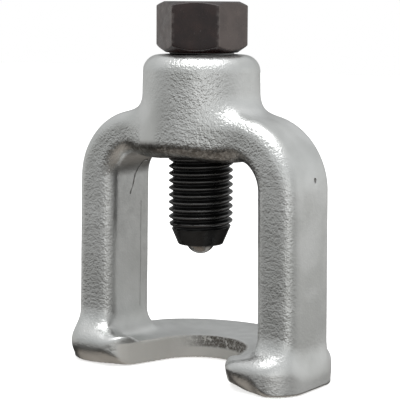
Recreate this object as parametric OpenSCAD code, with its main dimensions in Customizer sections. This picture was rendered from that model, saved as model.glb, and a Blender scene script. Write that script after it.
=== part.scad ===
// Ball joint separator: a forged yoke with a forked base, a forcing screw and a thrust ball.
// Millimetres. The origin is on the screw axis in the plane of the base's underside. +Z points up
// towards the hex head, X runs from leg to leg, and the fork opens towards -Y.

/* [Forked base] */
// Thickness of the horseshoe base
base_t = 6.5; // [5.5:0.1:8]
// Width of the base over the feet
base_w = 78; // [73:0.2:80]
// How far the feet reach forward of the screw axis
base_front = 15.6; // [14:0.1:18]
// How far the base reaches behind the screw axis
base_back = 32; // [28:0.5:36]
// Radius of the curved back edge
back_r = 45; // [42:1:60]
// Corner radius of the base outline
corner_r = 6.5; // [4:0.1:7]
// Radius of the rounded tips beside the slot
nose_r = 3; // [1.5:0.1:4]
// Radius of the closed end of the slot
slot_r = 13.7; // [11:0.1:14.5]
// How far the slot's centre lies forward of the screw axis
slot_forward = 2.2; // [0:0.1:3]
// Angle at which each side of the slot flares outward
slot_flare = 17; // [8:1:18]

/* [Legs and crossbar] */
// Width over the outside of the legs
legs_w = 72.8; // [70:0.2:72.8]
// Thickness of the legs and of the crossbar
leg_t = 11.4; // [9:0.1:13]
// Depth of the legs from front to back
leg_depth = 20.6; // [18:0.1:24]
// Radius of the long edges of the legs
edge_r = 3.2; // [2:0.1:4.2]
// Inside radius of the shoulders
shoulder_r = 8; // [5:0.5:10]
// Height of the crossbar's underside above the base's underside
opening_top = 60.7; // [56:0.1:64]
// Height of the blend at the foot of each leg
root_h = 7; // [4:0.5:9]
// Spread of the blend at the foot of each leg
root_spread = 5; // [3:0.5:6]

/* [Threaded boss] */
// Height of the boss's top face
boss_top = 88; // [84:0.5:92]
// Radius of the boss at the crossbar's underside
boss_r_low = 16.8; // [16.5:0.1:18]
// Radius of the boss just under its rounded rim
boss_r_high = 16.1; // [15:0.1:16.5]
// Radius of the boss's rounded top rim
rim_r = 4.5; // [3:0.1:5]
// Radius of the concave neck between the boss and the shoulders
neck_r = 5; // [3:0.5:6]

/* [Screw] */
// Width of the hex head across its flats
hex_af = 22; // [22:0.5:24]
// Height of the hex head
head_h = 13.8; // [12:0.1:16]
// Angle of the hex head about the screw axis when the screw is run down
head_turn = 27.5; // [0:0.5:60]
// Gap under the head when the screw is run down
head_gap = 0.6; // [0.5:0.1:2]
// Outside diameter of the screw's thread
thread_d = 17.85; // [17.8:0.01:17.9]
// Thread pitch
pitch = 2; // [1.9:0.1:2.2]
// Height of the screw's end face when it is run down
tip_z = 35.5; // [33:0.5:38]
// Radius of the screw's end face
tip_r = 6.2; // [5.8:0.1:6.8]
// Height of the tip cone, from the end face to the full thread
tip_h = 6.4; // [5:0.1:8]

/* [Ball] */
// Diameter of the thrust ball
ball_d = 8.5; // [8:0.1:9]
// How far the ball stands out of the screw
ball_out = 2.75; // [2.2:0.05:3]

/* [Hidden] */
$fn = 96;

// Distance that solids reach into each other so that they join as one
merge = 0.3;
// Distance that cutting shapes reach past what they cut
past = 1;
// Distance that the back corners' circles reach past the curved back edge, so that they cross it
crossing = 0.02;

base_half = base_w / 2;
leg_x = (legs_w - leg_t) / 2;
bend_r = shoulder_r + leg_t / 2;
bend_x = leg_x - bend_r;
bend_z = opening_top - shoulder_r;
crossbar_z = opening_top + leg_t / 2;
crossbar_top = opening_top + leg_t;
wall_top = boss_top - rim_r;

// M18 thread: the basic major radius, and the flat that the basic crest would have there
basic_r = 9;
basic_crest = pitch / 8;
flank_slope = tan(30);
// Screw thread: crest and root radii
crest_r = thread_d / 2;
root_r = 7.75;
// Tapped hole: groove and drilled radii, and the play it leaves beside each flank of the screw
groove_r = 9.1;
drill_r = 7.92;
flank_play = 0.15;
// Flat facets in each turn of a thread
facets = 24;
countersink_r = 9.6;

head_z = boss_top + head_gap;
head_top_r = 10.3;
head_top_chamfer = 1.15;
head_foot_r = 10;
head_foot_chamfer = 2;

ball_r = ball_d / 2;
ball_z = tip_z - ball_out + ball_r;
// Running clearance between the ball and its socket
socket_play = 0.05;

// Everything in the wedge between two directions that is further than r from the wedge's corner
module beyond_arc(r, from, to) {
    reach = 2.5 * r;
    difference() {
        polygon([
            [0, 0],
            reach * [cos(from), sin(from)],
            2 * reach * [cos((from + to) / 2), sin((from + to) / 2)],
            reach * [cos(to), sin(to)]
        ]);
        circle(r);
    }
}

// Flared slot: a round closed end and two tangent sides that open towards -Y
module slot_outline() {
    tangent_x = slot_r * cos(slot_flare);
    tangent_y = slot_r * sin(slot_flare) - slot_forward;
    mouth_y = -base_front - past;
    mouth_x = tangent_x + (tangent_y - mouth_y) * tan(slot_flare);
    translate([0, -slot_forward])
        circle(slot_r);
    polygon([
        [-mouth_x, mouth_y],
        [mouth_x, mouth_y],
        [tangent_x, tangent_y],
        [-tangent_x, tangent_y]
    ]);
}

// What rounds the base's outline on the +X side: front corner, back corner and the slot's tip
module outline_trims() {
    corner_x = base_half - corner_r;
    arc_y = base_back - back_r;
    rise = sqrt(pow(back_r - corner_r + crossing, 2) - pow(corner_x, 2));
    nose_y = nose_r - base_front;
    nose_x = (slot_r + nose_r - (nose_y + slot_forward) * sin(slot_flare)) / cos(slot_flare);
    translate([corner_x, corner_r - base_front])
        beyond_arc(corner_r, -90, 0);
    translate([corner_x, arc_y + rise])
        beyond_arc(corner_r, 0, atan2(rise, corner_x));
    translate([nose_x, nose_y])
        beyond_arc(nose_r, slot_flare - 180, -90);
}

module base_outline() {
    difference() {
        intersection() {
            translate([0, base_back - back_r])
                circle(back_r);
            translate([-base_half, -base_front])
                square([base_w, base_front + base_back]);
        }
        slot_outline();
        outline_trims();
        mirror([1, 0])
            outline_trims();
    }
}

// Cross-section of a leg or of the crossbar, with its thickness along X and rounded edges
module leg_section() {
    square([leg_t - 2 * edge_r, leg_depth], center = true);
    square([leg_t, leg_depth - 2 * edge_r], center = true);
    for (x = [-1, 1], y = [-1, 1])
        translate([x * (leg_t / 2 - edge_r), y * (leg_depth / 2 - edge_r)])
            circle(edge_r);
}

// Spreading root where the leg on the +X side meets the base, kept within the base's outline
module leg_root() {
    intersection() {
        translate([leg_x, 0, base_t - merge])
            hull() {
                linear_extrude(merge)
                    square([leg_t + 2 * root_spread, leg_depth + 2 * root_spread], center = true);
                translate([0, 0, root_h])
                    linear_extrude(merge)
                        square([leg_t - 2 * merge, leg_depth - 2 * edge_r], center = true);
            }
        linear_extrude(base_t + root_h + past)
            base_outline();
    }
}

// Leg on the +X side, with its shoulder bend and its root
module leg() {
    translate([leg_x, 0, base_t / 2])
        linear_extrude(bend_z - base_t / 2)
            leg_section();
    translate([bend_x, 0, bend_z])
        rotate([90, 0, 0])
            rotate_extrude(angle = 90)
                translate([bend_r, 0])
                    leg_section();
    leg_root();
}

module crossbar() {
    translate([0, 0, crossbar_z])
        rotate([0, 90, 0])
            linear_extrude(2 * bend_x, center = true)
                leg_section();
}

// Round boss: a slightly tapered wall and a rounded top rim
module boss() {
    rim_x = boss_r_high - rim_r;
    translate([0, 0, opening_top])
        cylinder(wall_top - opening_top, boss_r_low, boss_r_high);
    rotate_extrude() {
        translate([0, wall_top - merge])
            square([rim_x, rim_r + merge]);
        intersection() {
            translate([rim_x, wall_top])
                circle(rim_r);
            translate([rim_x - merge, wall_top - merge])
                square(rim_r + 2 * merge);
        }
    }
}

// Concave collar that blends the boss into the two shoulders
module neck() {
    taper = (boss_r_low - boss_r_high) / (wall_top - opening_top);
    bottom = crossbar_top - 0.5;
    boss_r = boss_r_high + taper * (wall_top - bottom - neck_r);
    depth = leg_depth - 2 * edge_r;
    intersection() {
        rotate_extrude()
            difference() {
                translate([boss_r - merge, bottom - 2 * past])
                    square([neck_r + merge, neck_r + 2 * past]);
                translate([boss_r + neck_r - merge / 6, bottom + neck_r])
                    circle(neck_r);
            }
        translate([0, 0, bottom])
            cube([4 * boss_r, depth, 4 * neck_r], center = true);
    }
}

// Right-hand threaded rod with the given crest and valley radii, where a ridge is `flat` thick at
// its crest. The first ridge is centred on z = 0 at the +X side and climbs one pitch in a turn.
module threaded_rod(crest, valley, flat, turns) {
    ridge = flat + 2 * (crest - valley) * flank_slope;
    // One ridge as [radius, height], from the foot of its lower flank to the foot of its upper one
    profile = [[valley, -ridge / 2], [crest, -flat / 2], [crest, flat / 2], [valley, ridge / 2]];
    sides = len(profile);
    rows = sides * turns;

    function spot(row, column) =
        let (turn = 360 * column / facets, radius = profile[row % sides][0])
        [
            radius * cos(turn),
            radius * sin(turn),
            profile[row % sides][1] + pitch * (floor(row / sides) + column / facets)
        ];
    // Each row is a helix: its end, one turn on, is the start of the same row of the next ridge
    function id(row, column) =
        column == facets ? id(row + sides, 0)
        : row < rows ? row * facets + column
        : rows * facets + row - rows;

    bottom = rows * facets + sides;
    top = bottom + 1;
    points = [
        for (row = [0:rows - 1], column = [0:facets - 1]) spot(row, column),
        for (row = [rows:rows + sides - 1]) spot(row, 0),
        [0, 0, 0],
        [0, 0, pitch * turns]
    ];
    last = rows - 1;
    faces = [
        for (row = [0:last - 1], column = [0:facets - 1])
            each [
                [id(row, column), id(row + 1, column), id(row + 1, column + 1)],
                [id(row, column), id(row + 1, column + 1), id(row, column + 1)]
            ],
        for (column = [0:facets - 1])
            each [
                [bottom, id(0, column), id(0, column + 1)],
                [top, id(last, column + 1), id(last, column)]
            ],
        [bottom, for (row = [sides:-1:0]) id(row, 0)],
        [top, for (row = [last:last + sides]) id(row, 0)]
    ];
    polyhedron(points, faces);
}

// Tapped hole through the boss, with a countersink at each end
module tapped_hole() {
    flat = basic_crest + 2 * (basic_r - groove_r) * flank_slope + 2 * flank_play;
    sink = countersink_r - drill_r;
    first = floor(opening_top / pitch) - 1;
    turns = ceil(boss_top / pitch) - first + 1;
    translate([0, 0, first * pitch])
        threaded_rod(groove_r, drill_r, flat, turns);
    translate([0, 0, boss_top - sink - past])
        cylinder(sink + 2 * past, drill_r - past, countersink_r + past);
    translate([0, 0, opening_top - past])
        cylinder(sink + 2 * past, countersink_r + past, drill_r - past);
}

// Forging with the horseshoe base, the two legs and the threaded boss
module yoke() {
    color("silver")
        difference() {
            union() {
                linear_extrude(base_t)
                    base_outline();
                leg();
                mirror([1, 0, 0])
                    leg();
                crossbar();
                boss();
                neck();
            }
            tapped_hole();
        }
}

// Hex head, chamfered at both ends
module hex_head() {
    corner = hex_af / 2 / cos(30);
    reach = corner + past;
    // The chamfers are stated at the head's corners, and are cut a little further out
    steeper = (reach - head_foot_r) / (corner - head_foot_r);
    flatter = (reach - head_top_r) / (corner - head_top_r);
    intersection() {
        rotate([0, 0, head_turn])
            cylinder(head_h, corner, corner, $fn = 6);
        rotate_extrude()
            polygon([
                [0, 0],
                [head_foot_r, 0],
                [reach, head_foot_chamfer * steeper],
                [reach, head_h - head_top_chamfer * flatter],
                [head_top_r, head_h],
                [0, head_h]
            ]);
    }
}

// Space round the tip: everything outside its cone and below its end face
module around_tip() {
    slope = (crest_r - tip_r) / tip_h;
    reach = crest_r + past;
    below = tip_z - 3 * pitch;
    rotate_extrude()
        polygon([
            [0, below],
            [reach, below],
            [reach, tip_z + (reach - tip_r) / slope],
            [tip_r, tip_z],
            [0, tip_z]
        ]);
}

// Forcing screw: hex head, threaded shank and conical tip with a socket for the ball
module pressure_screw() {
    flat = basic_crest + 2 * (basic_r - crest_r) * flank_slope;
    first = floor(tip_z / pitch) - 1;
    turns = ceil(head_z / pitch) - first + 1;
    color("dimgray")
        difference() {
            union() {
                translate([0, 0, first * pitch])
                    threaded_rod(crest_r, root_r, flat, turns);
                translate([0, 0, head_z])
                    hex_head();
            }
            around_tip();
            translate([0, 0, ball_z])
                sphere(ball_r + socket_play);
        }
}

module ball() {
    color("gainsboro")
        translate([0, 0, ball_z])
            sphere(ball_r);
}

yoke();
pressure_screw();
ball();
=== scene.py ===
"""Looks of a ball joint separator: a plated forged yoke, a blackened forcing screw and its thrust ball.

Shape code works in millimetres in the CAD model's frame: the origin is on the screw axis in the plane of
the base's underside, +Z is up and the fork opens towards -Y. Meshes are turned into metres at the end.
"""
import math

import bpy
import numpy as np
from mathutils import Matrix, Vector


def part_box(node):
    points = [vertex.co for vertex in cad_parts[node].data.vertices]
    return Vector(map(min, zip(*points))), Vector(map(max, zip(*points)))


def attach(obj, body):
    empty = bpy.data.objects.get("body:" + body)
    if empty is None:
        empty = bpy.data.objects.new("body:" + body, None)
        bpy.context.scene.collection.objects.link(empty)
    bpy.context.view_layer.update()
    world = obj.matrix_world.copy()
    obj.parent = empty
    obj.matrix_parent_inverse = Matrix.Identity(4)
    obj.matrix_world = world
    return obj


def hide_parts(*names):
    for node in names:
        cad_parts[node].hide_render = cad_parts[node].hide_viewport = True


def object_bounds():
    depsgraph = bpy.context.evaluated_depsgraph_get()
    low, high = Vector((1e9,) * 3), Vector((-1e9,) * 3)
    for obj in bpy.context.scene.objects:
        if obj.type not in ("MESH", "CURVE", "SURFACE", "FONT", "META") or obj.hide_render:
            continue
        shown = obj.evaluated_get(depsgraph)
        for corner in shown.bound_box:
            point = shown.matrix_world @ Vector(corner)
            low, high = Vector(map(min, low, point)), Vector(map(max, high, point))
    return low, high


MM = 0.001

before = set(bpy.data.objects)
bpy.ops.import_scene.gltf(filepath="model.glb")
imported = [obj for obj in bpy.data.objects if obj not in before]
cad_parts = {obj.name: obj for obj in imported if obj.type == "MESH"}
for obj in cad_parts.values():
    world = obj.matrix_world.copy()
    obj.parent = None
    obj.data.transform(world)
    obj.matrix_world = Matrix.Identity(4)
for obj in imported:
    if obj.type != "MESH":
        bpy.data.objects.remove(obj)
cad_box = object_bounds()


def corners(node):
    """Lowest and highest corner of a CAD node, in millimetres."""
    low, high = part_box(node)
    return np.array(low) / MM, np.array(high) / MM


yoke_low, yoke_high = corners("yoke")
screw_low, screw_high = corners("pressure_screw")
ball_low, ball_high = corners("ball")

# ---------------------------------------------------------------- yoke dimensions

BOSS_TOP = yoke_high[2]
# The boss starts inside the opening, which cuts its foot off
BOSS_FROM_Z = 48.0
BOSS_FOOT_RADIUS = -yoke_low[1] - 0.1
BOSS_TAPER = 0.6 / 33
BOSS_TAPER_FROM = 55.0
BOSS_RIM = 4.5
BOSS_BLEND = 6.0
BOSS_FOOT_EDGE = 4.8

LEG_OUTSIDE = 37.1
LEG_INSIDE = 24.4
# Sideways millimetres for each millimetre below LEG_SPLAY_FROM, and the extra on the outside of the -X leg
LEG_SPLAY = 0.012
OUTER_SPLAY = 0.005
LEG_SPLAY_FROM = 55.0
LEG_HALF_DEPTH = 10.2
LEG_MIDDLE_Y = -0.28
LEG_EDGE = 4.3
SHOULDER_TOP = 72.3
SHOULDER_RADIUS = 19.8
OPENING_TOP = 60.8
OPENING_RADIUS = 8.0
# Half the height of the boxes that shape the legs, which reach far below the base
LEG_BOX_HALF_HEIGHT = 60

BASE_THICKNESS = 6.5
BASE_TOP_EDGE = 1.6
BASE_SIDE_EDGE = 3.8
BASE_UNDER_EDGE = 0.5
BASE_BLEND = 7.0
BASE_FRONT_CORNER = 7.5
BASE_FRONT_CORNER_LEFT = 5.2
BASE_BACK_CORNER = 5.5
# The blend with the legs swells outwards, so the base itself is narrower than the finished yoke
BASE_HALF_WIDTH = yoke_high[0] - 2.65
BASE_BACK = yoke_high[1]
BASE_BACK_RADIUS = 45.0
BASE_BACK_RISE = 0.7
BASE_FRONT = -16.0
# The two feet are fuller and rounder than the rest of the base, except beside the slot
FOOT_FROM_Y = -6.0
FOOT_FROM_X = 16.0
FOOT_FROM_X_LIFTED = 11.0
FOOT_GROWS_OVER_X = 8.0
FOOT_RISE = 2.2
FOOT_TOP_EDGE = 3.2
FOOT_UNDER_EDGE = 5.3
LIFTED_UNDER_EDGE = 5.2
UNDER_EDGE_BY_SLOT = 0.4
FOOT_LIFT = 1.8
FOOT_LIFT_REACH = 6.0
FOOT_LIFT_GROWS_OVER_Y = 10.0
# Ranges for fade(): the place where a change starts, and the place where it is complete
BACK_RISE_Y = (10.0, 30.0)
SIDE_EDGE_X = (27.0, 35.0)
FOOT_RISE_Y = (FOOT_FROM_Y, FOOT_FROM_Y - 5.0)
FOOT_LIFT_X = (0.0, 5.0)
UNDER_EDGE_Y = (-8.5, -13.0)
UNDER_EDGE_ENDS_X = (27.0, 34.0)

SLOT_RADIUS = 13.8
SLOT_CENTRE_Y = -2.3
SLOT_FLARE = math.radians(16.5)
SLOT_LIP = 0.4
SLOT_TIP_BLEND = 6.0
SLOT_SOFT_Y = (SLOT_CENTRE_Y + 2, SLOT_CENTRE_Y - 10)
# The slot cuts the roots of the legs up to here
SLOT_TOP = BASE_THICKNESS + 2

# ---------------------------------------------------------------- thread and screw dimensions

PITCH = 2.0
FLANK_SLOPE = math.tan(math.radians(30))
BASIC_RADIUS = 9.0
BASIC_CREST = PITCH / 8
CREST_RADIUS = 8.925
ROOT_RADIUS = 7.75
GROOVE_RADIUS = 9.1
DRILL_RADIUS = 7.92
FLANK_PLAY = 0.15
HOLE_ROUNDING = 0.2
SCREW_ROUNDING = 0.22
# Keeps the bore's value from changing faster than a distance does, on the thread's slopes
BORE_SCALE = 0.6
BORE_BELOW_OPENING = 6
COUNTERSINK_RADIUS = 9.6

TIP_Z = screw_low[2]
TIP_RADIUS = 6.2
TIP_HEIGHT = 6.4
HEAD_TOP = screw_high[2]
HEAD_HEIGHT = 13.8
HEAD_FLATS = 22.0
HEAD_TURN = 27.5
HEAD_TOP_RADIUS = 10.3
HEAD_TOP_CHAMFER = 1.15
HEAD_FOOT_RADIUS = 10.0
HEAD_FOOT_CHAMFER = 2.0
# How much painted light each flat of the hex gets, for how the light falls on it, going round from HEAD_TURN
HEAD_PAINTED_LIGHT = (0.5, 0.3, 0.6, 0.5, 0.0, 0.75)
BALL_RADIUS = (ball_high[0] - ball_low[0]) / 2
BALL_Z = (ball_high[2] + ball_low[2]) / 2
SOCKET_PLAY = 0.05

# ---------------------------------------------------------------- skin of the forging

# Smooth pad low on the boss and the smoother skin round it, by turn from the front in degrees and by height
PAD_TURN = -26
PAD_HALF_TURN = (19, 11)
PAD_Z = 66
PAD_HALF_HEIGHT = (12, 6)
GROUND_TURN = -44
GROUND_HALF_TURN = (54, 38)
GROUND_Z = (66, 70)
# Height and size of the long and the short waves in the skin, in millimetres
LONG_WAVE, LONG_WAVE_SIZE = 0.05, 5.0
SHORT_WAVE, SHORT_WAVE_SIZE = 0.012, 1.7


# ---------------------------------------------------------------- shapes as signed distances

def soft_min(a, b, width):
    """Union of two solids, with a fillet that reaches as far as their distances differ by width."""
    overlap = np.maximum(width - np.abs(a - b), 0) / width
    return np.minimum(a, b) - overlap * overlap * width / 4


def soft_max(a, b, width):
    """Intersection of two solids, with the edge rounded in the same way."""
    return -soft_min(-a, -b, width)


def round_edge(a, b, radius):
    """Intersection of two solids, with the edge between them rounded to radius."""
    u, v = a + radius, b + radius
    return np.minimum(np.maximum(u, v), 0) + np.hypot(np.maximum(u, 0), np.maximum(v, 0)) - radius


def smooth_step(value):
    share = np.clip(value, 0, 1)
    return share * share * (3 - 2 * share)


def fade(value, start, end):
    """Smooth share that is 0 where value is at start and 1 where it is at end."""
    return smooth_step((value - start) / (end - start))


def mix(low, high, share):
    """Goes from low to high as share goes from 0 to 1."""
    return low + (high - low) * share


def slot_distance(x, y):
    """Signed distance to the flared slot: a round closed end with tangent sides that open towards -Y."""
    y = y - SLOT_CENTRE_Y
    side = np.abs(x) * math.cos(SLOT_FLARE) + y * math.sin(SLOT_FLARE) - SLOT_RADIUS
    at_side = np.abs(x) * math.sin(SLOT_FLARE) > y * math.cos(SLOT_FLARE)
    return np.where(at_side, side, np.hypot(x, y) - SLOT_RADIUS)


def outline_distance(x, y):
    """Signed distance to the base's outline without its slot: straight sides and front, curved back."""
    side = np.abs(x) - BASE_HALF_WIDTH
    back = np.hypot(x, y - BASE_BACK + BASE_BACK_RADIUS) - BASE_BACK_RADIUS
    corner = np.where(x < 0, BASE_FRONT_CORNER_LEFT, BASE_FRONT_CORNER)
    return round_edge(round_edge(side, BASE_FRONT - y, corner), back, BASE_BACK_CORNER)


def base_distance(x, y, z):
    outline = outline_distance(x, y)
    slot = slot_distance(x, y)
    # The slot is a crisp cut at its closed end and rolls over softly towards the two feet
    tip = fade(y, *SLOT_SOFT_Y)
    foot_from = np.where(x < 0, FOOT_FROM_X, FOOT_FROM_X_LIFTED)
    beside = fade(np.abs(x), foot_from, foot_from + FOOT_GROWS_OVER_X)
    high = BASE_THICKNESS + FOOT_RISE * fade(y, *FOOT_RISE_Y) + BASE_BACK_RISE * fade(y, *BACK_RISE_Y)
    rim = mix(BASE_TOP_EDGE, BASE_SIDE_EDGE, fade(np.abs(x), *SIDE_EDGE_X))
    top_edge = mix(rim, mix(SLOT_LIP, FOOT_TOP_EDGE, beside), tip)
    front = fade(y, *UNDER_EDGE_Y) * (1 - fade(x, *UNDER_EDGE_ENDS_X))
    foot_edge = np.where(x < 0, FOOT_UNDER_EDGE, LIFTED_UNDER_EDGE)
    under_edge = mix(BASE_UNDER_EDGE, foot_edge, front * mix(UNDER_EDGE_BY_SLOT, 1, beside))
    # The foot on the +X side is lifted a little beside the slot
    near_slot = np.exp(-np.maximum(slot, 0) / FOOT_LIFT_REACH)
    near_slot = near_slot * np.clip((FOOT_FROM_Y - y) / FOOT_LIFT_GROWS_OVER_Y, 0, 1)
    low = FOOT_LIFT * near_slot * fade(x, *FOOT_LIFT_X)
    above, below = z - high, low - z
    upper = above + top_edge > below + under_edge
    cap, edge = np.where(upper, above, below), np.where(upper, top_edge, under_edge)
    lip = mix(SLOT_LIP, SLOT_TIP_BLEND, tip)
    soft = round_edge(soft_max(outline, -slot, lip), cap, edge)
    crisp = np.maximum(round_edge(outline, cap, edge), -slot)
    return soft * tip + crisp * (1 - tip)


def yoke_distance(point):
    """Signed distance, in millimetres, to the forged outside of the yoke."""
    x, y, z = point[..., 0], point[..., 1], point[..., 2]
    # Boss
    boss_half = (BOSS_TOP - BOSS_FROM_Z) / 2
    radius = BOSS_FOOT_RADIUS - BOSS_TAPER * (z - BOSS_TAPER_FROM)
    cap = np.abs(z - (BOSS_TOP - boss_half)) - boss_half
    boss = round_edge(np.hypot(x, y) - radius, cap, BOSS_RIM)
    # Legs and shoulders: an outer and an inner rounded box, both reaching far below the base
    tall = LEG_BOX_HALF_HEIGHT
    across = np.abs(x) - LEG_SPLAY * (LEG_SPLAY_FROM - z)
    outside = np.abs(x) - (LEG_SPLAY + np.where(x < 0, OUTER_SPLAY, 0)) * (LEG_SPLAY_FROM - z)
    outer = rounded_box(outside, z - (SHOULDER_TOP - tall), LEG_OUTSIDE, tall, SHOULDER_RADIUS)
    inner = rounded_box(across, z - (OPENING_TOP - tall), LEG_INSIDE, tall, OPENING_RADIUS)
    arch = round_edge(np.maximum(outer, -inner), np.abs(y - LEG_MIDDLE_Y) - LEG_HALF_DEPTH, LEG_EDGE)
    top = soft_min(soft_max(boss, -inner, BOSS_FOOT_EDGE), arch, BOSS_BLEND)
    # Base, and the slot that cuts through the roots of the legs as well
    whole = np.maximum(soft_min(top, base_distance(x, y, z), BASE_BLEND), -z)
    return np.maximum(whole, -np.maximum(slot_distance(x, y), z - SLOT_TOP))


def rounded_box(across, up, half_across, half_up, radius):
    u = np.abs(across) - half_across + radius
    v = np.abs(up) - half_up + radius
    return np.minimum(np.maximum(u, v), 0) + np.hypot(np.maximum(u, 0), np.maximum(v, 0)) - radius


def thread_radius(x, y, z, crest, valley, flat, rounding):
    """Radius of a right-hand thread at a place, where a ridge is `flat` thick at its crest."""
    climb = PITCH * np.arctan2(y, x) / (2 * math.pi)
    off_ridge = np.abs((z - climb + PITCH / 2) % PITCH - PITCH / 2)
    flank = crest - (off_ridge - flat / 2) / FLANK_SLOPE
    ridge = soft_min(flank, np.full(flank.shape, crest), rounding)
    return soft_max(ridge, np.full(flank.shape, valley), rounding)


def tapped_hole_distance(point):
    """Signed distance to the tapped hole through the boss, with its two countersinks."""
    x, y, z = point[..., 0], point[..., 1], point[..., 2]
    flat = BASIC_CREST + 2 * (BASIC_RADIUS - GROOVE_RADIUS) * FLANK_SLOPE + 2 * FLANK_PLAY
    rho = np.hypot(x, y)
    bore = (rho - thread_radius(x, y, z, GROOVE_RADIUS, DRILL_RADIUS, flat, HOLE_ROUNDING)) * BORE_SCALE
    sink = np.maximum(z - BOSS_TOP, OPENING_TOP - z)
    countersink = (rho - COUNTERSINK_RADIUS - sink) * math.sqrt(0.5)
    return np.maximum(np.minimum(bore, countersink), OPENING_TOP - BORE_BELOW_OPENING - z)


def forging_distance(point):
    return np.maximum(yoke_distance(point), -tapped_hole_distance(point))


# ---------------------------------------------------------------- meshes

def surface_net(solid, low, high, step):
    """Points and quads of the closed surface where solid(points) is zero, from a grid of that step."""
    counts = np.ceil((high - low) / step).astype(int) + 1
    lines = [low[axis] + step * np.arange(counts[axis]) for axis in range(3)]
    grid = np.stack(np.meshgrid(*lines, indexing="ij"), axis=-1)
    value = solid(grid)
    cells = tuple(counts - 1)
    total = np.zeros(cells + (3,))
    crossings = np.zeros(cells)
    edges = []
    for axis in range(3):
        order = (axis, (axis + 1) % 3, (axis + 2) % 3)
        turned = value.transpose(order)
        places = grid.transpose(order + (3,))
        start, end = turned[:-1], turned[1:]
        crosses = (start < 0) != (end < 0)
        share = np.where(crosses, start / np.where(crosses, start - end, 1), 0)
        crossing = (places[:-1] + share[..., None] * (places[1:] - places[:-1])) * crosses[..., None]
        turned_total = total.transpose(order + (3,))
        turned_crossings = crossings.transpose(order)
        rows, columns = turned_crossings.shape[1:]
        for row in (0, 1):
            for column in (0, 1):
                turned_total += crossing[:, row:row + rows, column:column + columns]
                turned_crossings += crosses[:, row:row + rows, column:column + columns]
        edges.append((order, crosses, start < 0))
    used = crossings > 0
    number = np.full(cells, -1)
    number[used] = np.arange(used.sum())
    points = total[used] / crossings[used][:, None]
    quads = []
    for order, crosses, inside in edges:
        turned = number.transpose(order)
        i, j, k = np.nonzero(crosses)
        ring = [turned[i, j - 1, k - 1], turned[i, j, k - 1], turned[i, j, k], turned[i, j - 1, k]]
        faces = np.stack(ring, axis=1)
        outward = inside[i, j, k]
        quads.append(np.where(outward[:, None], faces, faces[:, ::-1]))
    return points, np.concatenate(quads)


def slope_of(solid, points, reach=0.02):
    """Value and gradient of solid at the points."""
    value = solid(points)
    gradient = np.empty(points.shape)
    for axis in range(3):
        shift = np.zeros(3)
        shift[axis] = reach
        gradient[:, axis] = (solid(points + shift) - solid(points - shift)) / (2 * reach)
    return value, gradient


def settle(solid, points, quads, step, rounds):
    """Evens out the points and moves them back onto the solid's surface."""
    for _ in range(rounds):
        total = np.zeros(points.shape)
        count = np.zeros(len(points))
        for side in range(4):
            a, b = quads[:, side], quads[:, (side + 1) % 4]
            for here, there in ((a, b), (b, a)):
                for axis in range(3):
                    total[:, axis] += np.bincount(here, points[there, axis], len(points))
                count += np.bincount(here, minlength=len(points))
        points = 0.5 * points + 0.5 * total / count[:, None]
        for _ in range(2):
            value, gradient = slope_of(solid, points)
            length = np.maximum((gradient ** 2).sum(axis=1), 0.1)
            move = np.clip(value / length, -step / 2, step / 2)
            points = points - gradient * move[:, None]
    return points


def lumps(points, size, seed):
    """Smooth random field between -1 and 1 whose features are about size across."""
    period = 32
    lattice = np.random.default_rng(seed).uniform(-1, 1, (period, period, period))
    place = points / size
    corner = np.floor(place).astype(int)
    share = smooth_step(place - corner)
    total = np.zeros(len(points))
    for i in (0, 1):
        for j in (0, 1):
            for k in (0, 1):
                index = (corner + (i, j, k)) % period
                weight = np.abs(1 - np.array((i, j, k)) - share).prod(axis=1)
                total += weight * lattice[index[:, 0], index[:, 1], index[:, 2]]
    return total


def make_piece(name, points, faces, body, node):
    """Blender object from points in millimetres, riding on a body in place of a CAD node."""
    mesh = bpy.data.meshes.new(name)
    mesh.from_pydata((points * MM).tolist(), [], [face for face in faces])
    mesh.validate()
    mesh.shade_smooth()
    piece = bpy.data.objects.new(name, mesh)
    bpy.context.scene.collection.objects.link(piece)
    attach(piece, body)
    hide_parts(node)
    return piece


def store(piece, name, values):
    """Keeps one number for each point of a piece, for its material to read."""
    attribute = piece.data.attributes.new(name, "FLOAT", "POINT")
    attribute.data.foreach_set("value", np.asarray(values, np.float32))


# ---------------------------------------------------------------- the three pieces

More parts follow.
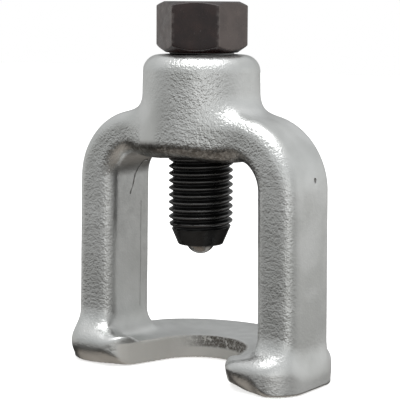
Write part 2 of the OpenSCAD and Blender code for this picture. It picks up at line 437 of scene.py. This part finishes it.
def build_yoke():
    step = 0.5
    margin = 3.0
    low = yoke_low - margin
    high = yoke_high + margin
    points, quads = surface_net(forging_distance, low, high, step)
    points = settle(forging_distance, points, quads, step, 3)
    gradient = slope_of(forging_distance, points)[1]
    normal = gradient / np.linalg.norm(gradient, axis=1)[:, None]
    x, y, z = points.T
    rho = np.hypot(x, y)
    tapped = (rho < COUNTERSINK_RADIUS + 0.3) & (z > OPENING_TOP - 1)
    on_slot = fade(np.abs(slot_distance(x, y)), 1.6, 0.3) * (z < BASE_THICKNESS + 0.2)
    # The die-struck front and back are pebbled; sides, slot and underside came out smoother
    pebble = mix(0.25, 1, fade(np.abs(normal[:, 1]), 0.25, 0.85))
    pebble *= mix(1, 0.3, on_slot)
    pebble *= mix(0.5, 1, fade(z, 5, 11))
    pebble *= mix(0.72, 1.12, fade(z, 54, 66))
    turn = np.degrees(np.arctan2(x, -y))
    pad = fade(np.abs(turn - PAD_TURN), *PAD_HALF_TURN) * fade(np.abs(z - PAD_Z), *PAD_HALF_HEIGHT)
    pebble *= mix(1, 0.1, pad)
    ground = fade(np.abs(turn - GROUND_TURN), *GROUND_HALF_TURN) * fade(z, *GROUND_Z)
    pebble *= mix(1, 0.45, ground)
    pebble[tapped] = 0.1
    wave = LONG_WAVE * lumps(points, LONG_WAVE_SIZE, 11) * mix(0.3, 1, pebble)
    wave += SHORT_WAVE * lumps(points, SHORT_WAVE_SIZE, 12) * pebble
    wave[tapped] = 0
    # Sunk by the height of the long waves, so that these don't make the yoke any bigger
    points = points + normal * (wave - LONG_WAVE)[:, None] * (~tapped)[:, None]
    points[:, 2] = np.clip(points[:, 2], 0, BOSS_TOP)
    piece = make_piece("forged_yoke", points, quads.tolist(), "yoke", "yoke")
    store(piece, "pebble", pebble)
    store(piece, "side", fade(np.abs(normal[:, 0]), 0.4, 0.9))
    store(piece, "tapped", tapped)
    store(piece, "on_slot", on_slot)
    # Painted shade: the underside of the crossbar and the legs' inner faces are darkened in colour
    # Painted shade under the crossbar: faces turned downwards, above the base and near the middle
    above_base = fade(z, 30, 50) * fade(np.abs(x), 21, 15)
    store(piece, "under", fade(-normal[:, 2], 0.03, 0.28) * above_base)
    # Mask of the legs' inner faces, for their painted shade and for placing the seam
    inward = fade(-np.sign(x) * normal[:, 0], 0.4, 0.8)
    store(piece, "inner_face", inward * (np.abs(x) < LEG_INSIDE + 4) * (z > BASE_THICKNESS))
    return piece


def hex_radius(angle):
    """Radius of the hex head in a direction, with its corners slightly rounded."""
    turned = (angle - math.radians(HEAD_TURN)) % (math.pi / 3)
    half = HEAD_FLATS / 2
    one = half / np.cos(turned - math.pi / 6)
    # The neighbouring flat on the nearer side of the corner
    near = np.minimum(turned, math.pi / 3 - turned)
    other = half / np.cos(near + math.pi / 6)
    return soft_min(one, other, 0.18)


def ring_mesh(rings, columns):
    """Points and faces of a closed skin through rings of equal counts, capped by a pole at each end."""
    count = len(columns)
    bottom, top = rings[0], rings[-1]
    points = np.concatenate([bottom[:1]] + rings[1:-1] + [top[:1]])
    faces = []
    last = len(rings) - 3
    for column in range(count):
        after = (column + 1) % count
        faces.append((0, 1 + after, 1 + column))
        for row in range(last):
            a = 1 + row * count
            b = a + count
            faces.append((a + column, a + after, b + after, b + column))
        end = 1 + last * count
        faces.append((end + column, end + after, len(points) - 1))
    return points, faces


def ring(radius, z, angles):
    radius = np.broadcast_to(radius, angles.shape)
    level = np.broadcast_to(z, angles.shape)
    return np.stack([radius * np.cos(angles), radius * np.sin(angles), level], axis=1)


def build_screw():
    # Columns crowd towards the corners of the hex, so that these stay crisp
    sector = math.pi / 3
    share = np.linspace(0, 1, 25)[:-1]
    crowded = share - 0.12 * np.sin(2 * math.pi * share)
    angles = np.concatenate([math.radians(HEAD_TURN) + sector * (side + crowded) for side in range(6)])
    around_x, around_y = np.cos(angles), np.sin(angles)
    head_z = HEAD_TOP - HEAD_HEIGHT
    rings = []
    # Socket, its rolled lip and the end face
    socket = BALL_RADIUS + SOCKET_PLAY
    lip_tilt = math.asin((TIP_Z - BALL_Z) / socket)
    for tilt in np.linspace(math.pi / 2, lip_tilt, 14):
        rings.append(ring(socket * math.cos(tilt), BALL_Z + socket * math.sin(tilt), angles))
    lip = socket * math.cos(lip_tilt)
    rings.append(ring(lip + 0.25, TIP_Z + 0.02, angles))
    rings.append(ring(lip + 0.55, TIP_Z + 0.18, angles))
    rings.append(ring(TIP_RADIUS - 0.9, TIP_Z + 0.16, angles))
    rings.append(ring(TIP_RADIUS - 0.35, TIP_Z + 0.06, angles))
    rings.append(ring(TIP_RADIUS - 0.05, TIP_Z + 0.08, angles))
    # Cone and thread
    slope = (CREST_RADIUS - TIP_RADIUS) / TIP_HEIGHT
    flat = BASIC_CREST + 2 * (BASIC_RADIUS - CREST_RADIUS) * FLANK_SLOPE
    thread_end = head_z - 1.2
    rows = 420
    for z in np.linspace(TIP_Z + 0.25, head_z, rows):
        thread = thread_radius(around_x, around_y, z, CREST_RADIUS, ROOT_RADIUS, flat, SCREW_ROUNDING)
        cone = TIP_RADIUS + slope * (z - TIP_Z)
        radius = soft_min(thread, np.full(angles.shape, cone), 0.15)
        radius = radius + (CREST_RADIUS - radius) * smooth_step((z - thread_end) / 1.0)
        rings.append(ring(radius, z, angles))
    # Head: foot chamfer, flats and top chamfer, each meeting the hex along its own curve
    corner = HEAD_FLATS / 2 / math.cos(math.pi / 6)
    hexagon = hex_radius(angles)
    foot_slope = HEAD_FOOT_CHAMFER / (corner - HEAD_FOOT_RADIUS)
    top_slope = HEAD_TOP_CHAMFER / (corner - HEAD_TOP_RADIUS)
    foot_edge = head_z + (hexagon - HEAD_FOOT_RADIUS) * foot_slope
    top_edge = HEAD_TOP - (hexagon - HEAD_TOP_RADIUS) * top_slope
    bevel = 0.12
    rings.append(ring(HEAD_FOOT_RADIUS - 0.1, head_z, angles))
    rings.append(ring(HEAD_FOOT_RADIUS + 0.08, head_z + 0.12, angles))
    rings.append(ring(hexagon - bevel, foot_edge - bevel * foot_slope, angles))
    rings.append(ring(hexagon - 0.03, foot_edge + bevel * 0.5, angles))
    for share in np.linspace(0, 1, 9):
        level = foot_edge + 2 * bevel + (top_edge - foot_edge - 4 * bevel) * share
        rings.append(ring(hexagon, level, angles))
    rings.append(ring(hexagon - 0.03, top_edge - bevel * 0.5, angles))
    rings.append(ring(hexagon - 2 * bevel, top_edge + 2 * bevel * top_slope, angles))
    rings.append(ring(HEAD_TOP_RADIUS + 0.1, HEAD_TOP - 0.06, angles))
    for radius in (HEAD_TOP_RADIUS - 0.1, 8.0, 5.0, 2.0, 0.0):
        rings.append(ring(radius, HEAD_TOP, angles))
    points, faces = ring_mesh(rings, angles)
    piece = make_piece("forcing_screw", points, faces, "screw", "pressure_screw")
    piece.data.set_sharp_from_angle(angle=math.radians(50))
    on_head = smooth_step((points[:, 2] - head_z + 0.3) / 0.3)
    store(piece, "on_head", on_head)
    rho = np.hypot(points[:, 0], points[:, 1])
    crest = smooth_step((rho - CREST_RADIUS + 0.3) / 0.25) * (1 - on_head)
    store(piece, "crest", crest)
    near_corner = smooth_step((rho - corner + 0.45) / 0.4) * on_head
    store(piece, "worn_edge", near_corner)
    direction = np.arctan2(points[:, 1], points[:, 0])
    flat_number = np.floor((direction - math.radians(HEAD_TURN)) / sector) % 6
    on_flat = (rho > hex_radius(direction) - 0.05) & (on_head > 0)
    # Painted light for each flat of the hex
    store(piece, "painted_face_light", np.array(HEAD_PAINTED_LIGHT)[flat_number.astype(int)] * on_flat)
    return piece


def build_ball():
    angles = np.linspace(0, 2 * math.pi, 97)[:-1]
    rings = []
    for tilt in np.linspace(-math.pi / 2, math.pi / 2, 61):
        rings.append(ring(BALL_RADIUS * math.cos(tilt), BALL_Z + BALL_RADIUS * math.sin(tilt), angles))
    points, faces = ring_mesh(rings, angles)
    return make_piece("thrust_ball", points, faces, "ball", "ball")


# ---------------------------------------------------------------- materials

def add_node(tree, kind, inputs=(), **settings):
    """Adds a shader node; inputs maps a socket's name or number to a value or to another node's output."""
    made = tree.nodes.new("ShaderNode" + kind)
    for name, value in settings.items():
        setattr(made, name, value)
    for key, value in dict(inputs).items():
        if isinstance(value, bpy.types.NodeSocket):
            tree.links.new(value, made.inputs[key])
        else:
            made.inputs[key].default_value = value
    return made


def start_material(name):
    """New material with its node tree, its shader and the coordinates of the object's own space."""
    material = bpy.data.materials.new(name)
    material.use_nodes = True
    tree = material.node_tree
    shader = tree.nodes["Principled BSDF"]
    coordinates = add_node(tree, "TexCoord").outputs["Object"]
    return material, tree, shader, coordinates


def noise(tree, coordinates, size, detail=2.0, roughness=0.5):
    """Noise value whose features are about size millimetres across."""
    inputs = {"Vector": coordinates, "Scale": 1 / (size * MM), "Detail": detail, "Roughness": roughness}
    return add_node(tree, "TexNoise", inputs).outputs["Fac"]


def spread(tree, value, start, end, low=0.0, high=1.0):
    """Maps start..end onto low..high, with soft ends."""
    inputs = {"Value": value, "From Min": start, "From Max": end, "To Min": low, "To Max": high}
    return add_node(tree, "MapRange", inputs, interpolation_type="SMOOTHSTEP").outputs["Result"]


def math_node(tree, operation, first, second=0.0):
    return add_node(tree, "Math", {0: first, 1: second}, operation=operation).outputs[0]


def distance_node(tree, place, start, end):
    """Distance in millimetres from the place to the line between two points of the YZ plane."""
    begin = (0, start[0], start[1])
    along = (0, end[0] - start[0], end[1] - start[1])
    length_squared = along[1] ** 2 + along[2] ** 2
    flat = add_node(tree, "VectorMath", {0: place, 1: (0, 1 / MM, 1 / MM)}, operation="MULTIPLY").outputs[0]
    offset = add_node(tree, "VectorMath", {0: flat, 1: begin}, operation="SUBTRACT").outputs[0]
    share = add_node(tree, "VectorMath", {0: offset, 1: along}, operation="DOT_PRODUCT").outputs["Value"]
    share = math_node(tree, "DIVIDE", share, length_squared)
    share.node.use_clamp = True
    reached = add_node(tree, "VectorMath", {0: along, "Scale": share}, operation="SCALE").outputs[0]
    return add_node(tree, "VectorMath", {0: offset, 1: reached}, operation="DISTANCE").outputs["Value"]


def blend_colour(tree, share, first, second):
    """Colour that goes from first to second as share goes from 0 to 1."""
    made = add_node(tree, "Mix", {0: share, 6: first, 7: second}, data_type="RGBA")
    return made.outputs[2]


def value_of(tree, name):
    return add_node(tree, "Attribute", attribute_name=name).outputs["Fac"]


def set_shader(tree, shader, **inputs):
    for name, value in inputs.items():
        key = name.replace("_", " ")
        if isinstance(value, bpy.types.NodeSocket):
            tree.links.new(value, shader.inputs[key])
        else:
            shader.inputs[key].default_value = value


def bump(tree, height, distance, strength, normal=None):
    inputs = {"Height": height, "Distance": distance * MM, "Strength": strength}
    if normal is not None:
        inputs["Normal"] = normal
    return add_node(tree, "Bump", inputs).outputs["Normal"]


def plated_forging():
    """Satin nickel-chrome over a shot-blasted forging: pebbled, with a rough dark band round the slot."""
    material, tree, shader, place = start_material("satin_plated_forging")
    pebble = value_of(tree, "pebble")
    on_slot = value_of(tree, "on_slot")
    tapped = value_of(tree, "tapped")
    under = value_of(tree, "under")
    inner_face = value_of(tree, "inner_face")
    axes = add_node(tree, "SeparateXYZ", {0: place})
    sideways, height = axes.outputs["X"], axes.outputs["Z"]
    # Colour
    tint = spread(tree, noise(tree, place, 14.0, 3.0), 0.35, 0.65)
    colour = blend_colour(tree, tint, (0.60, 0.61, 0.60, 1), (0.70, 0.71, 0.705, 1))
    speck = spread(tree, noise(tree, place, 0.55, 3.0, 0.6), 0.62, 0.74)
    speck = math_node(tree, "MULTIPLY", speck, pebble)
    colour = blend_colour(tree, math_node(tree, "MULTIPLY", speck, 0.5), colour, (0.36, 0.36, 0.35, 1))
    # Rough, torn band along the upper half of the slot's closed end
    band = spread(tree, height, 2.6 * MM, 3.8 * MM)
    ragged = spread(tree, noise(tree, place, 1.6, 4.0, 0.65), 0.32, 0.46)
    torn = math_node(tree, "MULTIPLY", math_node(tree, "MULTIPLY", band, ragged), on_slot)
    torn = math_node(tree, "MULTIPLY", torn, spread(tree, sideways, -15 * MM, -4 * MM))
    grit = spread(tree, noise(tree, place, 0.7, 4.0, 0.7), 0.42, 0.68)
    dark = blend_colour(tree, grit, (0.13, 0.12, 0.105, 1), (0.46, 0.45, 0.43, 1))
    colour = blend_colour(tree, torn, colour, dark)
    raw = math_node(tree, "SUBTRACT", on_slot, torn)
    colour = blend_colour(tree, math_node(tree, "MULTIPLY", raw, 0.8), colour, (0.45, 0.435, 0.405, 1))
    # Painted shade on the legs' inner faces, and painted shade in blotches under the crossbar
    colour = blend_colour(tree, math_node(tree, "MULTIPLY", inner_face, 0.4), colour, (0.31, 0.31, 0.30, 1))
    # Painted shade under the crossbar, stronger in some blotches than in others
    under_shade_strength = spread(tree, noise(tree, place, 1.1, 3.0, 0.6), 0.38, 0.58, 0.45, 0.85)
    painted_under_shade = math_node(tree, "MULTIPLY", under, under_shade_strength)
    colour = blend_colour(tree, painted_under_shade, colour, (0.13, 0.12, 0.11, 1))
    # A lap in the forging inside the -X leg, a faint line below it, and a pit outside the other leg.
    # Each is drawn through points (y, z) in millimetres
    waver = math_node(tree, "MULTIPLY", noise(tree, place, 1.2, 3.0), 0.7)
    lap = [(5.0, 57.0), (3.8, 57.1), (2.0, 54.6), (1.0, 53.0), (0, 49.8), (-1.1, 47.7)]
    nearest = 9.0
    for start, end in zip(lap[:-1], lap[1:]):
        nearest = math_node(tree, "MINIMUM", distance_node(tree, place, start, end), nearest)
    seam = spread(tree, math_node(tree, "ADD", nearest, waver), 0.62, 0.40)
    line = spread(tree, distance_node(tree, place, (3.8, 45), (3.8, 14)), 0.22, 0.05)
    seam = math_node(tree, "MAXIMUM", seam, math_node(tree, "MULTIPLY", line, 0.3))
    seam = math_node(tree, "MULTIPLY", seam, spread(tree, sideways, -22 * MM, -23 * MM))
    seam = math_node(tree, "MULTIPLY", seam, inner_face)
    spot = math_node(tree, "ADD", distance_node(tree, place, (1.1, 55.6), (1.2, 56.0)), waver)
    pit = math_node(tree, "MULTIPLY", spread(tree, spot, 1.0, 0.6), spread(tree, sideways, 30 * MM, 32 * MM))
    flaw = math_node(tree, "MAXIMUM", seam, pit)
    colour = blend_colour(tree, math_node(tree, "MULTIPLY", flaw, 0.85), colour, (0.10, 0.095, 0.09, 1))
    colour = blend_colour(tree, tapped, colour, (0.16, 0.15, 0.14, 1))
    # Roughness
    patchy = noise(tree, place, 3.0, 3.0)
    rough = spread(tree, patchy, 0.3, 0.7, 0.28, 0.36)
    rough = math_node(tree, "ADD", rough, math_node(tree, "MULTIPLY", value_of(tree, "side"), 0.1))
    rough = math_node(tree, "ADD", rough, math_node(tree, "MULTIPLY", on_slot, 0.22))
    rough = math_node(tree, "ADD", rough, math_node(tree, "MULTIPLY", torn, 0.3))
    # Pebbled skin, coarse and fine
    cells = {"Vector": place, "Scale": 1 / (0.95 * MM), "Smoothness": 0.5}
    coarse = add_node(tree, "TexVoronoi", cells, feature="SMOOTH_F1").outputs["Distance"]
    fine = noise(tree, place, 0.45, 1.0, 0.5)
    skin = math_node(tree, "SUBTRACT", fine, math_node(tree, "MULTIPLY", coarse, 0.7))
    skin = math_node(tree, "MULTIPLY", skin, pebble)
    normal = bump(tree, skin, 0.14, 1.0)
    normal = bump(tree, math_node(tree, "MULTIPLY", grit, torn), 0.25, 1.0, normal)
    normal = bump(tree, math_node(tree, "MULTIPLY", flaw, -1.0), 0.2, 1.0, normal)
    metal = spread(tree, on_slot, 0.0, 1.0, 1.0, 0.6)
    set_shader(tree, shader, Base_Color=colour, Metallic=metal, Roughness=rough, Normal=normal)
    return material


def black_oxide():
    """Black oxide over machined steel: brown-black and dry on the hex, darker and oiled on the thread."""
    material, tree, shader, place = start_material("black_oxide_steel")
    on_head = value_of(tree, "on_head")
    crest = value_of(tree, "crest")
    worn = value_of(tree, "worn_edge")
    cloud = spread(tree, noise(tree, place, 5.0, 4.0, 0.6), 0.35, 0.65)
    head = blend_colour(tree, cloud, (0.008, 0.003, 0.003, 1), (0.016, 0.007, 0.006, 1))
    # Painted light: each flat of the hex is lightened by its own amount, standing in for how the light falls
    # on it
    painted_face_light = math_node(tree, "MULTIPLY", value_of(tree, "painted_face_light"), spread(tree, cloud, 0, 1, 0.75, 1.0))
    head = blend_colour(tree, painted_face_light, head, (0.075, 0.058, 0.052, 1))
    shank = blend_colour(tree, cloud, (0.002, 0.002, 0.002, 1), (0.005, 0.005, 0.005, 1))
    colour = blend_colour(tree, on_head, shank, head)
    # Fine handling marks, and bare metal showing through along the hex's corners
    stretch = {"Vector": place, "Rotation": (0.3, 0.5, 0.9), "Scale": (1, 0.12, 1)}
    stretched = add_node(tree, "Mapping", stretch)
    scratch = spread(tree, noise(tree, stretched.outputs[0], 0.35, 2.0, 0.6), 0.68, 0.74)
    marks = math_node(tree, "MULTIPLY", scratch, spread(tree, noise(tree, place, 3.5, 2.0), 0.5, 0.62))
    marks = math_node(tree, "MULTIPLY", marks, on_head)
    chafed = math_node(tree, "MULTIPLY", worn, spread(tree, noise(tree, place, 1.2, 3.0), 0.35, 0.7))
    marks = math_node(tree, "MULTIPLY", marks, 0.35)
    chafed = math_node(tree, "MULTIPLY", chafed, 0.3)
    bare = math_node(tree, "MAXIMUM", marks, chafed)
    bare = math_node(tree, "MAXIMUM", bare, math_node(tree, "MULTIPLY", crest, 0.03))
    colour = blend_colour(tree, bare, colour, (0.20, 0.185, 0.175, 1))
    metal = math_node(tree, "MULTIPLY", bare, 0.7)
    rough = spread(tree, noise(tree, place, 2.2, 3.0), 0.3, 0.7, 0.26, 0.40)
    rough = math_node(tree, "SUBTRACT", rough, math_node(tree, "MULTIPLY", crest, 0.15))
    # A higher refractive index stands in for the oil's shine, most on the thread's crests
    oiled = math_node(tree, "MAXIMUM", crest, math_node(tree, "MULTIPLY", on_head, 0.35))
    sheen = spread(tree, oiled, 0.0, 1.0, 1.38, 1.85)
    skin = noise(tree, place, 0.5, 3.0, 0.6)
    normal = bump(tree, skin, 0.02, 0.5)
    set_shader(tree, shader, Base_Color=colour, Metallic=metal, Roughness=rough, Normal=normal, IOR=sheen)
    return material


def polished_ball():
    """Ground and polished bearing steel, with hairline marks and a faint film of grease near the socket."""
    material, tree, shader, place = start_material("polished_bearing_steel")
    height = add_node(tree, "SeparateXYZ", {0: place}).outputs["Z"]
    film = spread(tree, height, (TIP_Z - 1.2) * MM, (TIP_Z + 0.2) * MM)
    film = math_node(tree, "MULTIPLY", film, spread(tree, noise(tree, place, 1.5, 3.0), 0.3, 0.6))
    colour = blend_colour(tree, film, (0.30, 0.285, 0.27, 1), (0.10, 0.085, 0.07, 1))
    stretch = {"Vector": place, "Rotation": (0.2, 0.7, 0.4), "Scale": (1, 0.1, 1)}
    stretched = add_node(tree, "Mapping", stretch)
    hairline = spread(tree, noise(tree, stretched.outputs[0], 0.22, 2.0, 0.6), 0.55, 0.75)
    rough = spread(tree, hairline, 0.0, 1.0, 0.18, 0.30)
    normal = bump(tree, hairline, 0.01, 0.3)
    set_shader(tree, shader, Base_Color=colour, Metallic=1.0, Roughness=rough, Normal=normal)
    return material


# ---------------------------------------------------------------- studio

def build_floor():
    """Large pale floor under the base."""
    half = 1.5
    mesh = bpy.data.meshes.new("floor")
    # Just below the base, so that the two don't share a plane
    z = cad_box[0].z - 0.2 * MM
    square = [(-half, -half, z), (half, -half, z), (half, half, z), (-half, half, z)]
    mesh.from_pydata(square, [], [(0, 1, 2, 3)])
    floor = bpy.data.objects.new("floor", mesh)
    bpy.context.scene.collection.objects.link(floor)
    material, tree, shader, place = start_material("pale_floor")
    set_shader(tree, shader, Base_Color=(0.93, 0.93, 0.92, 1), Roughness=0.7)
    set_shader(tree, shader, Emission_Color=(1, 1, 1, 1), Emission_Strength=0.55)
    mesh.materials.append(material)
    floor.visible_glossy = False


def build_world():
    """Soft studio surround: white to the camera, and in reflections brighter overhead than below."""
    world = bpy.data.worlds.new("studio")
    bpy.context.scene.world = world
    world.use_nodes = True
    tree = world.node_tree
    tree.nodes.clear()
    direction = add_node(tree, "TexCoord").outputs["Generated"]
    upward = add_node(tree, "SeparateXYZ", {0: direction}).outputs["Z"]
    level = math_node(tree, "MULTIPLY_ADD", upward, 0.5)
    level.node.inputs[2].default_value = 0.5
    ramp = add_node(tree, "ValToRGB", {0: level})
    # Colour of the surround by height of the direction, from -1 straight down to 1 straight up
    stops = [
        (-1.0, (0.42, 0.38, 0.34)),
        (-0.70, (0.37, 0.335, 0.30)),
        (-0.55, (0.03, 0.028, 0.026)),
        (-0.32, (0.03, 0.028, 0.026)),
        (-0.22, (0.52, 0.51, 0.495)),
        (-0.10, (0.63, 0.63, 0.62)),
        (0.40, (0.66, 0.67, 0.67)),
        (0.85, (0.82, 0.82, 0.82)),
        (0.94, (1.4, 1.4, 1.4)),
        (0.985, (1.85, 1.85, 1.85)),
    ]
    elements = ramp.color_ramp.elements
    while len(elements) < len(stops):
        elements.new(1.0)
    for element, (place, colour) in zip(elements, stops):
        element.position = (place + 1) / 2
        element.color = colour + (1,)
    # Each patch scales the light in a cone: its direction, the cosines at its rim and core, and the scale
    patches = [
        ((0.31, -0.94, -0.13), 0.955, 0.99, 0.7),
        ((0.66, -0.74, -0.10), 0.87, 0.975, 1.95),
        ((-0.58, -0.81, -0.10), 0.82, 0.97, 0.75),
        ((0.70, 0.70, -0.13), 0.72, 0.95, 1.34),
        ((-0.58, 0.80, 0.13), 0.86, 0.97, 0.60),
    ]
    factor = 1.0
    for towards, rim, core, scale in patches:
        aim = add_node(tree, "VectorMath", {0: direction, 1: towards}, operation="DOT_PRODUCT")
        inside = spread(tree, aim.outputs["Value"], rim, core, 1.0, scale)
        factor = math_node(tree, "MULTIPLY", inside, factor)
    lit = add_node(tree, "VectorMath", {0: ramp.outputs[0], "Scale": factor}, operation="SCALE").outputs[0]
    seen = add_node(tree, "LightPath").outputs["Is Camera Ray"]
    colour = blend_colour(tree, seen, lit, (1, 1, 1, 1))
    surface = add_node(tree, "Background", {0: colour, 1: 1.0})
    output = add_node(tree, "OutputWorld")
    tree.links.new(surface.outputs[0], output.inputs[0])


def build_light(name, place, aim, size, power):
    """Square soft light at a place, in metres, turned towards aim."""
    light = bpy.data.lights.new(name, "AREA")
    light.shape = "SQUARE"
    light.size = size
    light.energy = power
    lamp = bpy.data.objects.new(name, light)
    bpy.context.scene.collection.objects.link(lamp)
    lamp.location = place
    lamp.rotation_euler = (Vector(aim) - Vector(place)).to_track_quat("-Z", "Y").to_euler()
    lamp.visible_camera = False


def build_camera():
    azimuth, elevation, roll = map(math.radians, (37.0, 7.62, 0.35))
    distance, aim_right, aim_up = 407.0 * MM, -0.22 * MM, 47.7 * MM
    back = Vector((
        math.sin(azimuth) * math.cos(elevation),
        -math.cos(azimuth) * math.cos(elevation),
        math.sin(elevation),
    ))
    right = Vector((math.cos(azimuth), math.sin(azimuth), 0))
    up = back.cross(right)
    data = bpy.data.cameras.new("camera")
    data.sensor_width = 36.0
    # A picture this many pixels wide shows this many pixels to a millimetre at the aim point
    picture_width, pixels_per_mm = 400, 3.6
    data.lens = data.sensor_width * pixels_per_mm * (distance / MM) / picture_width
    data.clip_start, data.clip_end = 0.01, 10
    camera = bpy.data.objects.new("camera", data)
    bpy.context.scene.collection.objects.link(camera)
    turned_right = right * math.cos(roll) + up * math.sin(roll)
    turned_up = up * math.cos(roll) - right * math.sin(roll)
    rotation = Matrix((turned_right, turned_up, back)).transposed()
    place = Matrix.Translation(right * aim_right + Vector((0, 0, aim_up)) + back * distance)
    camera.matrix_world = place @ rotation.to_4x4()
    bpy.context.scene.camera = camera


yoke = build_yoke()
yoke.data.materials.append(plated_forging())
screw = build_screw()
screw.data.materials.append(black_oxide())
ball = build_ball()
ball.data.materials.append(polished_ball())

build_floor()
build_world()
middle = (cad_box[0] + cad_box[1]) / 2
build_light("overhead_softbox", (0.05, -0.1, 0.55), middle, 0.4, 1.3)
build_camera()
bpy.context.scene.view_settings.view_transform = "Standard"
